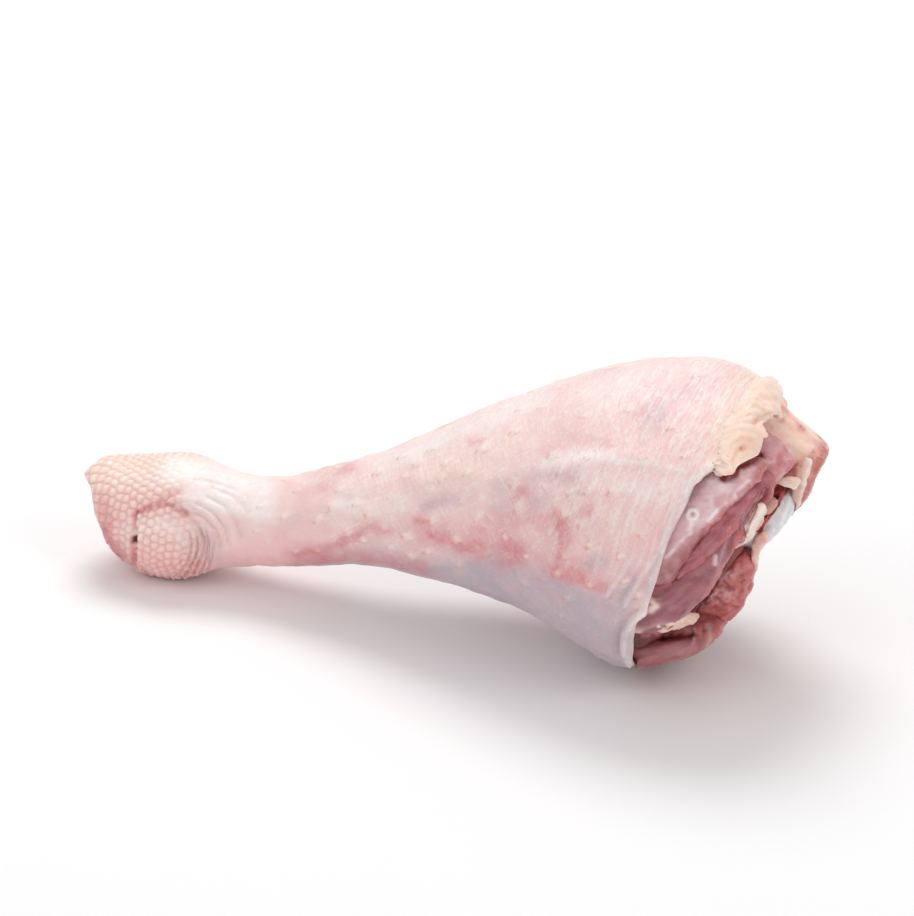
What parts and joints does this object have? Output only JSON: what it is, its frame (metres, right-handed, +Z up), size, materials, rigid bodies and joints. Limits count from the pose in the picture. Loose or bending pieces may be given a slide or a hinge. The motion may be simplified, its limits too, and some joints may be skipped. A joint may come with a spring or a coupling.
{
  "type": "raw turkey drumstick",
  "caption": "Whole raw turkey drumstick lying on its side: pale goose-bumped skin, scaly hock at the thin end, cut muscles, tendons and bone showing at the thick knee end.",
  "frame": {"origin": "on the surface that it lies on, under the middle of its bounding box", "axes": "+X from the hock (ankle) to the cut knee end, +Z up; the side shown in the picture faces -Y"},
  "size_m": [0.2424, 0.0948, 0.1039],
  "materials": {
    "skin": "raw poultry skin, moist satin, goose-bumped, scaly at the hock",
    "fat": "pale fat, moist satin",
    "bone": "bone end with its blue-white cartilage cap, moist gloss",
    "sinew": "cream tendon and gristle, moist gloss",
    "silverskin": "thin silvery membrane over muscle, moist gloss",
    "flesh": "dark turkey meat, mauve red, moist gloss",
    "red_flesh": "cut turkey meat, redder, moist gloss",
    "deep_flesh": "deep red meat and blood-stained joint tissue, moist gloss",
    "fascia": "pale orange-pink membrane over muscle, moist satin"
  },
  "bodies": {
    "root": {"skin": "skin", "fat_flap": "fat", "fat_lower": "fat", "joint_capsule": "fat", "tibia": "bone", "fibula": "bone", "meniscus": "sinew", "ligament": "sinew", "tendon": "sinew", "muscle_outer": "silverskin", "muscle_band": "red_flesh", "muscle_calf": "flesh", "muscle_strip": "flesh", "muscle_knee": "flesh", "muscle_upper": "fascia", "muscle_inner": "red_flesh", "muscle_under": "flesh", "muscle_back": "flesh", "muscle_deep": "deep_flesh", "joint_flesh": "deep_flesh"}
  },
  "joints": []
}
